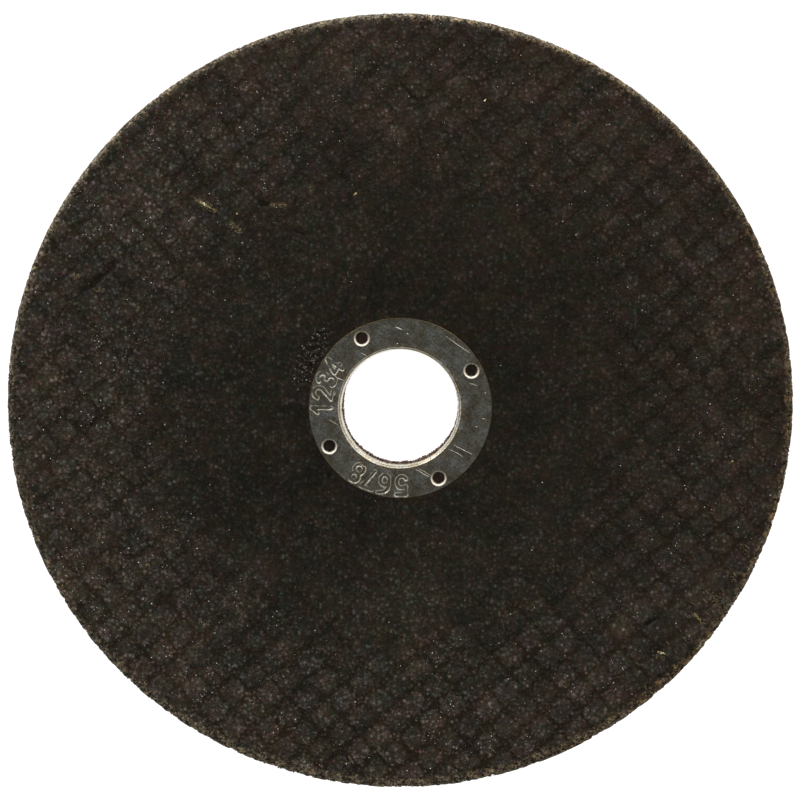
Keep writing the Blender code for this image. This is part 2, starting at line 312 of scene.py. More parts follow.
def face_plan(inner, inner_steps, per_pitch, hub_step, seed, marked=False):
    """Points and triangles of one face in plan.

    The quilted part has a fixed number of sample lines per mesh pitch, both ways, so that every
    strand and pillow is sampled alike; the hub has a triangular grid. Both are cut to the face and
    shaken a little, and plump triangles join them to the inner and the outer circle.
    """
    rng = np.random.default_rng(seed)
    reach = int(DISC_RADIUS / PITCH) + 3
    lines = np.arange(-reach * per_pitch, reach * per_pitch) / per_pitch * PITCH
    warp, weft = np.meshgrid(lines + WARP_OFFSET, lines + WEFT_OFFSET)
    x = warp * math.sin(MESH_TURN) + weft * math.cos(MESH_TURN)
    y = -warp * math.cos(MESH_TURN) + weft * math.sin(MESH_TURN)
    quilt = np.stack([x.ravel(), y.ravel()], 1)
    quilt += rng.normal(0, 0.1 * PITCH / per_pitch, quilt.shape)
    radius = np.hypot(*quilt.T)
    quilt = quilt[(radius > HUB_EDGE) & (radius < QUILT_EDGE - 0.45 * PITCH / per_pitch)]
    hub = triangular_grid(hub_step, HUB_EDGE)
    if marked:
        patch = triangular_grid(0.25 * MM, CHIPPED_REACH[1] * 1.3) + on_face(CHIPPED_PATCH)
        hub = np.concatenate([hub[chipped(*hub.T) == 0], patch[chipped(*patch.T) > 0]])
        for first, second, _, _ in GOUGES:
            spots = triangular_grid(0.2 * MM, 3 * MM) + (on_face(first) + on_face(second)) / 2
            quilt = np.concatenate([quilt, spots[gouge_depth(*spots.T) > 0]])
    hub += rng.normal(0, 0.06 * MM, hub.shape)
    radius = np.hypot(*hub.T)
    hub = hub[(radius < HUB_EDGE - 0.2 * hub_step) & (radius > inner + 0.2 * MM)]
    plan = np.concatenate([quilt, hub, circle(QUILT_EDGE, RIM_STEPS), circle(inner, inner_steps)])
    first = len(quilt) + len(hub)
    edges = [(first + i, first + (i + 1) % RIM_STEPS) for i in range(RIM_STEPS)]
    first += RIM_STEPS
    edges += [(first + i, first + (i + 1) % inner_steps) for i in range(inner_steps)]
    flat, _, triangles, _, _, _ = delaunay_2d_cdt([Vector(p) for p in plan.tolist()], edges, [], 0, 1e-10)
    flat, triangles = np.array(flat), np.array(triangles)
    middle = flat[triangles].mean(1)
    return flat, triangles[np.hypot(*middle.T) > inner * math.cos(math.pi / inner_steps)]


def turned_grid(radius, height, turns):
    """Vertices of a profile (radius, height), carried round at the given turns: profile by turn."""
    radius, height, turns = np.broadcast_arrays(radius, height, turns)
    return np.stack([radius * np.cos(turns), radius * np.sin(turns), height], -1)


def grid_faces(rows, columns, first=0, wrap_rows=False):
    """Quads of a grid that closes round its columns, and round its rows too if asked."""
    row = np.arange(rows if wrap_rows else rows - 1)[:, None]
    column = np.arange(columns)[None, :]
    after = (column + 1) % columns
    below = (row + 1) % rows
    corners = (row * columns + column, row * columns + after,
               below * columns + after, below * columns + column)
    return first + np.stack([c + 0 * row + 0 * column for c in corners], -1).reshape(-1, 4)


def face_outwards(mesh, merge=False):
    """Point the faces of a mesh outwards, once its doubles are merged if asked."""
    bm = bmesh.new()
    bm.from_mesh(mesh)
    if merge:
        bmesh.ops.remove_doubles(bm, verts=bm.verts, dist=1e-7)
    bmesh.ops.recalc_face_normals(bm, faces=bm.faces)
    bm.to_mesh(mesh)
    bm.free()


def new_piece(name, verts, faces, material, smooth=True, merge=False):
    """A mesh object at the origin from an array of vertices and a list of arrays of faces."""
    mesh = bpy.data.meshes.new(name)
    mesh.from_pydata(verts.tolist(), [], [f for block in faces for f in block.tolist()])
    if merge:
        face_outwards(mesh, merge=True)
    mesh.polygons.foreach_set("use_smooth", np.full(len(mesh.polygons), smooth))
    mesh.materials.append(material)
    mesh.update()
    piece = bpy.data.objects.new(name, mesh)
    bpy.context.scene.collection.objects.link(piece)
    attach(piece, "root")
    return piece


def add_float(mesh, name, values):
    """A number for each vertex, under a name that a material reads."""
    mesh.attributes.new(name, "FLOAT", "POINT").data.foreach_set("value", values.astype(np.float32))


def mesh_points(mesh):
    """The places of a mesh's vertices, as arrays of x, y and z."""
    points = np.empty(len(mesh.vertices) * 3)
    mesh.vertices.foreach_get("co", points)
    return points.reshape(-1, 3).T


def rim_profile(back_z, wall_steps, bend_steps):
    """Section of the rim, front to back: rounding, side wall, rounding, with its outward normals."""
    turn = np.radians(np.linspace(90, 0, bend_steps))
    drop = RIM_DROP * (1 - np.sin(turn))
    wall = np.linspace(FACE_Z - RIM_DROP, back_z + RIM_DROP, wall_steps + 2)[1:-1]
    radius = np.concatenate([QUILT_EDGE + RIM_WIDTH * np.cos(turn), np.full(wall_steps, DISC_RADIUS),
                             QUILT_EDGE + RIM_WIDTH * np.cos(turn[::-1])])
    height = np.concatenate([FACE_Z - drop, wall, back_z + drop[::-1]])
    normal_r = np.concatenate([np.cos(turn), np.ones(wall_steps), np.cos(turn[::-1])])
    normal_z = np.concatenate([np.sin(turn), np.zeros(wall_steps), -np.sin(turn[::-1])])
    return radius, height, normal_r, normal_z


def rim_grid(back_z):
    """The rim as a grid, roughened along its normal by coarse and fine grit."""
    radius, height, normal_r, normal_z = rim_profile(back_z, 3, 6)
    free = np.ones((len(radius), 1))
    free[[0, -1]] = 0
    turns = even_turns(RIM_STEPS)[None]
    across = np.cumsum(np.hypot(np.gradient(radius), np.gradient(height)))[:, None]
    along, across = np.broadcast_arrays(turns * DISC_RADIUS, across)
    fine = 0.30 * value_noise(along, across, 0.8 * MM, 31)
    coarse = 0.18 * value_noise(along, across, 2.1 * MM, 32)
    rough = np.minimum(fine + coarse - 0.12, 0) * MM * free
    radius = radius[:, None] + rough * normal_r[:, None]
    height = height[:, None] + rough * normal_z[:, None]
    return turned_grid(radius, height, turns)


def bore_profile(back_z):
    """Seat and bore of the body, front to back: seat wall, seat floor, sleeve wall, shoulder, bore."""
    seat = FLANGE_RADIUS + SEAT_CLEARANCE
    floor = FLANGE_TOP - SHEET - SEAT_CLEARANCE
    sleeve = BORE_RADIUS + SHEET + SEAT_CLEARANCE
    shoulder = BORE_RADIUS + 0.05 * MM
    top = SLEEVE_END - SEAT_CLEARANCE
    return np.array([
        (seat, FACE_Z), (seat, floor), (sleeve, floor), (sleeve, top),
        (shoulder, top), (shoulder, (top + back_z) / 2), (shoulder, back_z),
    ])


def make_abrasive_body(material):
    """The moulded body: two quilted faces, with the rim round them and the seat and bore inside.

    All are joined but at one place: the front face ends at its own height beside the seat's wall.
    """
    bore = bore_profile(GRIT_STAND)
    front_flat, front_triangles = face_plan(bore[0, 0], BORE_STEPS, 9, 1.0 * MM, 1, marked=True)
    back_flat, back_triangles = face_plan(bore[-1, 0], BORE_STEPS, 7, 1.5 * MM, 2)
    front_relief = face_relief(*front_flat.T, FRONT_SEED, marked=True)
    front_relief[np.hypot(*front_flat.T) > QUILT_EDGE - SAME_POINT] = 0
    back_relief = face_relief(*back_flat.T, BACK_SEED)
    radius = np.hypot(*back_flat.T)
    back_relief[(radius > QUILT_EDGE - SAME_POINT) | (radius < bore[-1, 0] + SAME_POINT)] = 0
    front = np.column_stack([front_flat, FACE_Z + front_relief])
    back = np.column_stack([back_flat, GRIT_STAND - back_relief])
    rim = rim_grid(GRIT_STAND)
    wall = turned_grid(bore[:, :1], bore[:, 1:], even_turns(BORE_STEPS)[None])
    verts = np.concatenate([front, back, rim.reshape(-1, 3), wall.reshape(-1, 3)])
    rim_first = len(front) + len(back)
    faces = [
        front_triangles,
        back_triangles[:, ::-1] + len(front),
        grid_faces(len(rim), RIM_STEPS, rim_first),
        grid_faces(len(bore), BORE_STEPS, rim_first + len(rim) * RIM_STEPS),
    ]
    piece = new_piece("abrasive_body", verts, faces, material, merge=True)
    mesh = piece.data
    mesh.set_sharp_from_angle(angle=CRISP_ANGLE)
    x, y, z = mesh_points(mesh)
    is_front = z > FACE_Z / 2
    for name, by_place in (("quilt", quilt_strength), ("pillow", pillow_tone)):
        add_float(mesh, name, np.where(is_front, by_place(x, y, FRONT_SEED), by_place(x, y, BACK_SEED)))
    # Share of the chipped patch, and of the tears, whose black is painted shade
    add_float(mesh, "chipped", np.where(is_front, np.maximum(0.8 * chipped(x, y), gouge_depth(x, y)), 0))
    corners = np.empty(len(mesh.loops), int)
    mesh.loops.foreach_get("vertex_index", corners)
    layer = mesh.uv_layers.new(name="weave")
    layer.data.foreach_set("uv", np.column_stack(weave(x, y))[corners].ravel().astype(np.float32))
    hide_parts("abrasive_disc")
    return piece


def add_grains(name, centers, normals, sizes, flatness, tints, seed, material, smooth=False):
    """Abrasive grains: octahedra with uneven points, part sunk where they sit.

    Every grain takes the six points of an octahedron, pushes each in or out at random, flattens
    them along the surface's normal, turns them about it and moves them to the grain's centre. None
    reaches past the box of the disc: what would is worn flat there.
    """
    rng = np.random.default_rng(seed)
    count = len(centers)
    corners = np.array([(1, 0, 0), (0, 1, 0), (-1, 0, 0), (0, -1, 0), (0, 0, 1), (0, 0, -1)], float)
    shape = corners[None] * rng.uniform(0.6, 1.15, (count, 6, 1))
    shape[:, 4, :2] += rng.uniform(-0.45, 0.45, (count, 2))
    shape[:, :4, 2] += rng.uniform(-0.3, 0.3, (count, 4))
    shape[:, :, 2] *= flatness
    spin = rng.uniform(0, 2 * math.pi, (count, 1))
    helper = np.where(np.abs(normals[:, 2:]) > 0.7, [[1.0, 0, 0]], [[0, 0, 1.0]])
    side = np.cross(helper, normals)
    side /= np.linalg.norm(side, axis=1, keepdims=True)
    tangent = side * np.cos(spin) + np.cross(normals, side) * np.sin(spin)
    axes = np.stack([tangent, np.cross(normals, tangent), normals], 1)
    verts = centers[:, None] + sizes[:, None, None] * np.einsum("nkj,nji->nki", shape, axes)
    verts = verts.reshape(-1, 3)
    verts[:, 2] = np.clip(verts[:, 2], 0, FLANGE_TOP)
    radius = np.hypot(verts[:, 0], verts[:, 1])
    verts[:, :2] *= np.minimum(1, DISC_RADIUS / radius)[:, None]
    octahedron = np.array([
        (0, 1, 4), (1, 2, 4), (2, 3, 4), (3, 0, 4), (1, 0, 5), (2, 1, 5), (3, 2, 5), (0, 3, 5)])
    faces = (6 * np.arange(count)[:, None, None] + octahedron[None]).reshape(-1, 3)
    piece = new_piece(name, verts, [faces], material, smooth=smooth)
    add_float(piece.data, "tint", np.repeat(tints, 6))
    return piece


def leaning_normals(rng, spread, count):
    """Unit normals that point up and lean over at random, each by its own amount."""
    normals = np.column_stack([rng.normal(0, spread, (count, 2)), np.ones(count)])
    return normals / np.linalg.norm(normals, axis=1, keepdims=True)


def make_face_grit(name, outward, plane_z, inner, spacing, relief_seed, seed, material):
    """Grains under the skin of one face: low mounds on a shaken grid, prouder outwards.

    In the gaps between the pillows they are fewer and darker, and each pillow has its own tone.
    """
    rng = np.random.default_rng(seed)
    spots = triangular_grid(spacing, QUILT_EDGE)
    spots += rng.uniform(-0.36 * spacing, 0.36 * spacing, spots.shape)
    radius = np.hypot(*spots.T)
    x, y = spots[(radius > inner + 0.3 * MM) & (radius < QUILT_EDGE)].T
    warp, weft = weave(x, y)
    in_groove = quilt_strength(x, y, relief_seed) * mesh_gap(warp, weft)
    kept = rng.uniform(0, 1, len(x)) > 0.55 * in_groove
    x, y, in_groove = x[kept], y[kept], in_groove[kept]
    tints = rng.uniform(0, 1, len(x)) - 0.5 * in_groove + 0.14 * pillow_tone(x, y, relief_seed)
    outer = ease(24 * MM, 60 * MM, np.hypot(x, y))
    sizes = (0.30 + 0.12 * rng.uniform(0, 1, len(x))) * MM
    proud = (0.020 + (0.012 + 0.050 * outer) * rng.uniform(0, 1, len(x))) * MM
    flatness = 0.25 + 0.1 * outer.mean()
    z = plane_z + outward * (face_relief(x, y, relief_seed, outward > 0) + proud - sizes * flatness * 0.9)
    centers = np.column_stack([x, y, z])
    normals = np.broadcast_to([0.0, 0.0, float(outward)], centers.shape)
    return add_grains(name, centers, normals, sizes, flatness, tints, seed + 1, material, smooth=True)


def make_bare_crystals(material):
    """Small bare crystals on the front: in clusters, many outwards, fewer in gaps and at upper right."""
    rng = np.random.default_rng(67)
    x, y = rng.uniform(-QUILT_EDGE, QUILT_EDGE, (2, 130000))
    radius = np.hypot(x, y)
    clusters = ease(-0.1, 0.8, value_noise(x, y, 3.4 * MM, 68))
    clusters = clusters * ease(-0.7, 0.5, value_noise(x, y, 11 * MM, 70))
    pillow = 1 - 0.85 * quilt_strength(x, y, FRONT_SEED) * mesh_gap(*weave(x, y))
    density = (0.014 + 0.25 * ease(33 * MM, 61 * MM, radius)) * (0.25 + 1.8 * clusters) * pillow
    density = density * (1.08 - 0.66 * ease(-30 * MM, 40 * MM, x + 0.7 * y))
    kept = rng.uniform(0, 1, len(x)) < density
    kept &= (radius > FLANGE_RADIUS + 0.4 * MM) & (radius < QUILT_EDGE)
    x, y = x[kept], y[kept]
    sizes = (0.045 + 0.085 * rng.uniform(0, 1, len(x)) ** 2) * MM
    centers = np.column_stack([x, y, front_height(x, y) + 0.03 * MM])
    normals = leaning_normals(rng, 0.35, len(x))
    tints = rng.uniform(0, 1, len(x))
    return add_grains("bare_crystals", centers, normals, sizes, 0.7, tints, 69, material)


def make_chip_grains(material):
    """Dull broken grains in the chipped patch beside the ring, thickest in its middle."""
    rng = np.random.default_rng(73)
    spots = on_face(CHIPPED_PATCH) + rng.uniform(-1, 1, (1100, 2)) * CHIPPED_REACH[1]
    x, y = spots[rng.uniform(0, 1, len(spots)) < 0.7 * chipped(*spots.T)].T
    beside = np.hypot(x, y) > FLANGE_RADIUS + 0.3 * MM
    x, y = x[beside], y[beside]
    sizes = (0.10 + 0.14 * rng.uniform(0, 1, len(x))) * MM
    centers = np.column_stack([x, y, front_height(x, y) + 0.02 * MM])
    normals = leaning_normals(rng, 0.3, len(x))
    is_dull = rng.uniform(0, 1, len(x)) < 0.8
    tints = np.where(is_dull, rng.uniform(0, 0.40, len(x)), rng.uniform(0.40, 0.65, len(x)))
    return add_grains("chip_grains", centers, normals, sizes, 0.5, tints, 74, material)


def make_golden_grains(material):
    """Golden grains in the face: single ones, small dots along a worn arc, and torn tufts of strand."""
    rng = np.random.default_rng(75)
    spots = np.array([on_face(pixel) for pixel in GOLDEN_SPOTS])
    knees = np.array([on_face(pixel) for pixel in DOTTED_ARC])
    length = np.concatenate([[0], np.cumsum(np.hypot(*np.diff(knees, axis=0).T))])
    along = np.sort(rng.uniform(0, length[-1], 70))
    dots = np.column_stack([np.interp(along, length, knees[:, 0]), np.interp(along, length, knees[:, 1])])
    dots += rng.normal(0, 0.12 * MM, dots.shape)
    places = [spots, dots]
    sizes = [rng.uniform(0.16, 0.30, len(spots)), rng.uniform(0.05, 0.10, len(dots))]
    tints = [rng.uniform(0.2, 1, len(spots)), rng.uniform(0, 0.45, len(dots))]
    for first, second, spread, count, palest in TORN_TUFTS:
        start, end = on_face(first), on_face(second)
        share = rng.uniform(0, 1, (count, 1))
        side = rng.normal(0, 1, (count, 2)) * spread * (0.35 + 0.65 * np.sin(math.pi * share))
        places.append(start + (end - start) * share + side)
        sizes.append(rng.uniform(0.08, 0.19, count))
        tints.append(palest * rng.uniform(0.1, 1, count) ** 1.5)
    places = np.concatenate(places)
    sizes = np.concatenate(sizes) * MM
    tints = np.concatenate(tints)
    centers = np.column_stack([places, front_height(*places.T) + 0.03 * MM])
    normals = leaning_normals(rng, 0.3, len(places))
    return add_grains("golden_grains", centers, normals, sizes, 0.6, tints, 76, material)


def make_rim_grit(material):
    """Grains over the rounded rim and its wall, thrown about at random along the profile."""
    rng = np.random.default_rng(71)
    count = 17000
    radius, height, normal_r, normal_z = rim_profile(GRIT_STAND, 20, 30)
    length = np.concatenate([[0], np.cumsum(np.hypot(np.diff(radius), np.diff(height)))])
    along = rng.uniform(0, length[-1], count)
    radius, height = np.interp(along, length, radius), np.interp(along, length, height)
    normal_r, normal_z = np.interp(along, length, normal_r), np.interp(along, length, normal_z)
    turns = rng.uniform(0, 2 * math.pi, count)
    normals = np.stack([normal_r * np.cos(turns), normal_r * np.sin(turns), normal_z], 1)
    normals /= np.linalg.norm(normals, axis=1, keepdims=True)
    sizes = (0.12 + 0.30 * rng.uniform(0, 1, count) ** 1.5) * MM
    centers = np.stack([radius * np.cos(turns), radius * np.sin(turns), height], 1)
    centers -= normals * (rng.uniform(0.0, 0.42, count) * MM + 0.40 * sizes)[:, None]
    tints = rng.uniform(0, 1, count)
    return add_grains("rim_grit", centers, normals, sizes, 0.8, tints, 72, material)


def make_bore_crumbs(material):
    """Crumbs of mix at the back of the bore, where the sleeve ends: a ragged fringe, widest at -Y."""
    rng = np.random.default_rng(81)
    count = 2600
    turns = rng.uniform(-math.pi, math.pi, count)
    sizes = rng.uniform(0.13, 0.27, count) * MM
    lumps = 0.5 + 0.5 * value_noise(turns * BORE_RADIUS, 0 * turns, 1.3 * MM, 82)
    low_side = ease(-0.1, 0.85, -np.sin(turns))
    left_side = np.exp(-((np.abs(turns) - math.pi) / 0.35) ** 2)
    fringe = 0.05 + 0.49 * low_side * (0.45 + 0.55 * lumps) + 0.42 * left_side * (0.4 + 0.6 * lumps)
    reach = fringe * rng.uniform(0, 1, count) * MM
    radius = BORE_RADIUS + 0.12 * MM - reach
    height = rng.uniform(0.25, 0.75, count) * MM
    centers = np.stack([radius * np.cos(turns), radius * np.sin(turns), height], 1)
    normals = np.stack([-np.cos(turns), -np.sin(turns), 0 * turns], 1)
    tints = rng.uniform(0, 1, count)
    return add_grains("bore_crumbs", centers, normals, sizes, 0.9, tints, 83, material)


def make_hole_crumbs(material):
    """Crumbs of mix against the lower side of the four small holes."""
    rng = np.random.default_rng(85)
    count = 90
    holes = HOLE_ANGLES[np.arange(count) % 4]
    turns = rng.uniform(-math.pi, 0, count)
    sizes = rng.uniform(0.08, 0.17, count) * MM
    radius = HOLE_RADIUS - rng.uniform(-0.05, 0.12, count) * MM
    x = HOLE_CIRCLE * np.cos(holes) + radius * np.cos(turns)
    y = HOLE_CIRCLE * np.sin(holes) + radius * np.sin(turns)
    centers = np.stack([x, y, FLANGE_TOP - rng.uniform(0.30, 0.50, count) * MM], 1)
    normals = np.broadcast_to([0.0, 0.0, 1.0], centers.shape)
    tints = rng.uniform(0, 0.8, count)
    return add_grains("hole_crumbs", centers, normals, sizes, 0.9, tints, 86, material)


def add_slivers(name, starts, ends, widths, heights, base_z, seed, material):
    """Slender slivers lying on the face, pointed at both ends and bowed a little to one side.

    Each runs along its line in 9 steps, with an oval section of 8 points that swells by the
    square root of a sine and so closes to a point at either end.
    """
    rng = np.random.default_rng(seed)
    count, steps, around = len(starts), 9, 8
    share = np.linspace(0, 1, steps)[None, :, None]
    run = ends - starts
    length = np.linalg.norm(run, axis=1, keepdims=True)
    across = np.stack([-run[:, 1], run[:, 0]], 1) / length
    bow = rng.uniform(-0.03, 0.03, (count, 1, 1)) * length[:, None]
    line = starts[:, None] + run[:, None] * share + across[:, None] * bow * np.sin(math.pi * share) ** 2
    swell = np.sqrt(np.clip(np.sin(math.pi * share), 0, 1))
    turns = even_turns(around)
    side = 0.5 * widths[:, None, None] * swell * np.cos(turns)
    up = 0.5 * heights[:, None, None] * swell * np.sin(turns)
    verts = np.concatenate([line[:, :, None] + side[..., None] * across[:, None, None],
                            (base_z[:, None, None] + up)[..., None]], -1)
    verts[..., 2] = np.clip(verts[..., 2], 0, FLANGE_TOP)
    one = grid_faces(steps, around)
    faces = (steps * around * np.arange(count)[:, None, None] + one[None]).reshape(-1, 4)
    piece = new_piece(name, verts.reshape(-1, 3), [faces], material, merge=True)
    return piece


def make_strands(material):
    """Ends of glass strands laid bare by the rim, short and dull: some below, most at lower right.

    They lie on the front face, and lower where it rounds over at the rim.
    """
    rng = np.random.default_rng(95)
    turns = np.radians(np.concatenate([rng.uniform(-125, -5, 20), rng.uniform(-50, -20, 13)]))
    radius = rng.uniform(67.5, 73.4, len(turns)) * MM
    middle = np.stack([radius * np.cos(turns), radius * np.sin(turns)], 1)
    lean = np.radians(rng.normal(STRAND_LEAN, 13, len(turns)))
    half = rng.uniform(0.4, 1.2, (len(turns), 1)) * MM * np.stack([np.cos(lean), np.sin(lean)], 1)
    starts, ends = middle - half, middle + half
    inside = np.maximum(np.hypot(*starts.T), np.hypot(*ends.T)) < STRAND_LIMIT
    starts, ends = starts[inside], ends[inside]
    widths = rng.uniform(0.24, 0.50, len(starts)) * MM
    middle = (starts + ends) / 2
    base = front_height(*middle.T) + 0.05 * MM
    base -= ease(QUILT_EDGE, DISC_RADIUS, np.hypot(*middle.T)) * 0.3 * MM
    return add_slivers(
        "glass_strands", starts, ends, widths, widths * 0.35, base, 96, material)


def make_ring_scratches(material):
    """Burrs of the scratches in the flange, as thin bright slivers on the metal."""
    starts = np.array([on_face(first) for first, _, _ in RING_SCRATCHES])
    ends = np.array([on_face(second) for _, second, _ in RING_SCRATCHES])
    widths = np.array([width for _, _, width in RING_SCRATCHES])
    base = np.full(len(ends), FLANGE_TOP - 0.03 * MM)
    return add_slivers(
        "flange_scratches", starts, ends, widths, widths * 0.45, base, 97, material)


def stroke_arc(center, size, start, end, steps=10):
    """Points along an arc of an ellipse, from one turn to another in degrees."""
    turns = np.radians(np.linspace(start, end, steps))
    return [(center[0] + size[0] * math.cos(t), center[1] + size[1] * math.sin(t)) for t in turns]


# Strokes of the stamped figures in a box one high, from its lower left corner
FIGURES = {
    "1": [[(0.12, 0.74), (0.38, 1.0), (0.38, 0.0)]],
    "2": [stroke_arc((0.31, 0.70), (0.29, 0.30), 165, -28) + [(0.02, 0.0), (0.62, 0.0)]],
    "3": [stroke_arc((0.29, 0.76), (0.26, 0.24), 150, -90)
          + stroke_arc((0.29, 0.27), (0.30, 0.27), 90, -150)],
    "4": [[(0.46, 0.0), (0.46, 1.0), (0.0, 0.30), (0.64, 0.30)]],
    "5": [[(0.56, 1.0), (0.10, 1.0), (0.06, 0.56)] + stroke_arc((0.28, 0.32), (0.31, 0.32), 125, -150)],
    "6": [stroke_arc((0.56, 0.50), (0.54, 0.52), 95, 175)
          + stroke_arc((0.31, 0.29), (0.28, 0.29), 180, -180)],
    "7": [[(0.02, 1.0), (0.60, 1.0), (0.22, 0.0)]],
    "8": [stroke_arc((0.31, 0.76), (0.24, 0.24), -90, 270, 14)
          + stroke_arc((0.31, 0.27), (0.29, 0.27), 90, 450, 14)],
}
# Each figure and its turn on the flange, in degrees
STAMPS = (
    ("1", 180.5), ("2", 169.0), ("3", 158.0), ("4", 147.5),
    ("5", -89.2), ("6", -102.0), ("7", -112.8), ("8", -123.6))
# The middle of a figure, measured as its strokes are, and what one unit of a stroke is, both ways
STAMP_MIDDLE = 0.31
STAMP_WIDTH = 3.4 * MM
STAMP_HEIGHT = 3.6 * MM
# Radius of the figures' feet, and of the circle along which they are spaced
STAMP_FOOT = 13.2 * MM
STAMP_CIRCLE = 15.2 * MM
# Depth of the trough, and from the stroke's line the way to its floor's edge, its rim and its lip
STAMP_DEPTH = 0.12 * MM
STAMP_FLOOR = 0.18 * MM
STAMP_RIM = 0.42 * MM
STAMP_LIP = 0.50 * MM


def stroke_distance(u, v, strokes):
    """Distance from points to the nearest stroke of a figure, over all its straight pieces."""
    best = np.full(u.shape, 1.0)
    for points in strokes:
        points = [((x - STAMP_MIDDLE) * STAMP_WIDTH, y * STAMP_HEIGHT) for x, y in points]
        for start, end in zip(points, points[1:]):
            best = np.minimum(best, segment_distance(u, v, start, end))
    return best


def stamped(x, y):
    """Relief of the stamped figures and the share of painted highlight there.

    A figure is a flat trough along each stroke with steep sides and a low lip, and a painted
    highlight runs along the trough's rim, broken at places: bright colour for the light that the
    edge catches. Figures stand with their tops outwards and read clockwise. A point's place on a
    figure is its arc length clockwise from the figure's middle, and its radius over the figures' foot.
    """
    radius, turn = np.hypot(x, y), np.arctan2(y, x)
    height, burr = np.zeros_like(x), np.zeros_like(x)
    for figure, degrees in STAMPS:
        away = (math.radians(degrees) - turn + math.pi) % (2 * math.pi) - math.pi
        u, v = away * STAMP_CIRCLE, radius - STAMP_FOOT
        near = (np.abs(u) < 2.4 * MM) & (v > -0.8 * MM)
        gap = np.full(x.shape, 1.0)
        gap[near] = stroke_distance(u[near], v[near], FIGURES[figure])
        trough = -STAMP_DEPTH * (1 - ease(STAMP_FLOOR, STAMP_RIM, gap))
        lip = 0.025 * MM * np.exp(-((gap - STAMP_LIP) / (0.08 * MM)) ** 2)
        height = np.minimum(height, trough) + lip
        # Painted highlight: a bright line along the rim of each trough, for the light that its edge catches
        burr = np.maximum(burr, np.exp(-((gap - STAMP_RIM) / (0.10 * MM)) ** 2))
    worn = 0.85 + 0.35 * value_noise(x, y, 1.1 * MM, 45)
    return height * worn, 0.68 * burr * ease(-0.6, 0.5, value_noise(x, y, 0.7 * MM, 46))


def ring_turns():
    """Turns round the ring, close together under the stamped figures and wider elsewhere."""
    degrees = np.arange(0, 360, 0.05)
    left = (degrees > 139) & (degrees < 190)
    bottom = (degrees > 228) & (degrees < 280)
    place = np.concatenate([[0], np.cumsum(0.05 / np.where(left | bottom, 0.28, 0.8))])
    count = int(place[-1])
    return np.radians(np.interp(np.arange(count) * place[-1] / count, place, np.append(degrees, 360)))


def ring_profile():
    """Section of the pressing, (radius, height), closed: edge, top, two-step lip, sleeve, underside.

    The two numbers that follow are the first and the last point of the flat on top.
    """
    under = FLANGE_TOP - SHEET
    bend_r, bend_z = BORE_RADIUS + LIP_RADIUS, FLANGE_TOP - LIP_RADIUS
    hollow = LIP_RADIUS - SHEET
    shear = np.radians(np.linspace(0, 90, 4))
    edge_r = FLANGE_RADIUS - FLANGE_EDGE_RADIUS * (1 - np.cos(shear))
    edge_z = FLANGE_FLAT - FLANGE_EDGE_RADIUS * (1 - np.sin(shear))
    flat = np.linspace(FLANGE_RADIUS - 0.18 * MM, bend_r + 0.06 * MM, 70)
    upper, lower = np.radians(np.linspace(90, 150, 7)), np.radians(np.linspace(100, 180, 8))
    upper_r = bend_r + UPPER_LIP_RADIUS * np.cos(upper)
    upper_z = FLANGE_FLAT - UPPER_LIP_RADIUS * (1 - np.sin(upper))
    lower_r = BORE_RADIUS + LOWER_LIP_RADIUS * (1 + np.cos(lower))
    lower_z = bend_z + 0.03 * MM + LOWER_LIP_RADIUS * np.sin(lower)
    inside = np.radians([180, 135, 90])
    radius = np.concatenate([
        [FLANGE_RADIUS - 0.05 * MM, FLANGE_RADIUS], edge_r, flat, upper_r, [upper_r[-1] + 0.02 * MM],
        lower_r, [BORE_RADIUS] * 3, [BORE_RADIUS + 0.08 * MM, BORE_RADIUS + SHEET],
        bend_r + hollow * np.cos(inside)])
    height = np.concatenate([
        [under, under + 0.05 * MM], edge_z, [FLANGE_FLAT] * len(flat), upper_z, [upper_z[-1] - 0.05 * MM],
        lower_z, np.linspace(bend_z, SLEEVE_END + 0.08 * MM, 4)[1:], [SLEEVE_END, SLEEVE_END],
        bend_z + hollow * np.sin(inside)])
    return radius, height, (2 + len(edge_r), 2 + len(edge_r) + len(flat))


# Flare of a hole's mouth, outside in: slope in degrees, and how far it stands outside the hole
FLARE_SLOPES = (14, 24, 34, 38, 40, 52, 68, 84)
FLARE_REACH = np.array([0.38, 0.34, 0.28, 0.20, 0.11, 0.06, 0.02, 0.0]) * MM


def make_hole_cutter(angle):
    """A punch with a flared mouth: a rounded shoulder, a cone of 40 degrees, and a rounded throat."""
    tilts = np.radians(FLARE_SLOPES)
    radius = HOLE_RADIUS + FLARE_REACH
    drop = np.concatenate([[0], np.cumsum(-np.diff(radius) * np.tan((tilts[1:] + tilts[:-1]) / 2))])
    height = FLANGE_FLAT - drop
    above = height[0] + 0.1 * MM
    radius = np.concatenate([[radius[0] + 0.1 * MM / math.tan(tilts[0])], radius, [HOLE_RADIUS]])
    height = np.concatenate([[above], height, [height[-1] - 2 * SHEET]])
    steps = 48
    grid = turned_grid(radius[:, None], height[:, None], even_turns(steps)[None])
    verts = grid.reshape(-1, 3) + [HOLE_CIRCLE * math.cos(angle), HOLE_CIRCLE * math.sin(angle), 0]
    caps = [list(range(steps)), list(range(len(verts) - steps, len(verts)))[::-1]]
    mesh = bpy.data.meshes.new("punch")
    mesh.from_pydata(verts.tolist(), [], grid_faces(len(radius), steps).tolist() + caps)
    face_outwards(mesh)
    cutter = bpy.data.objects.new("punch", mesh)
    bpy.context.scene.collection.objects.link(cutter)
    return cutter


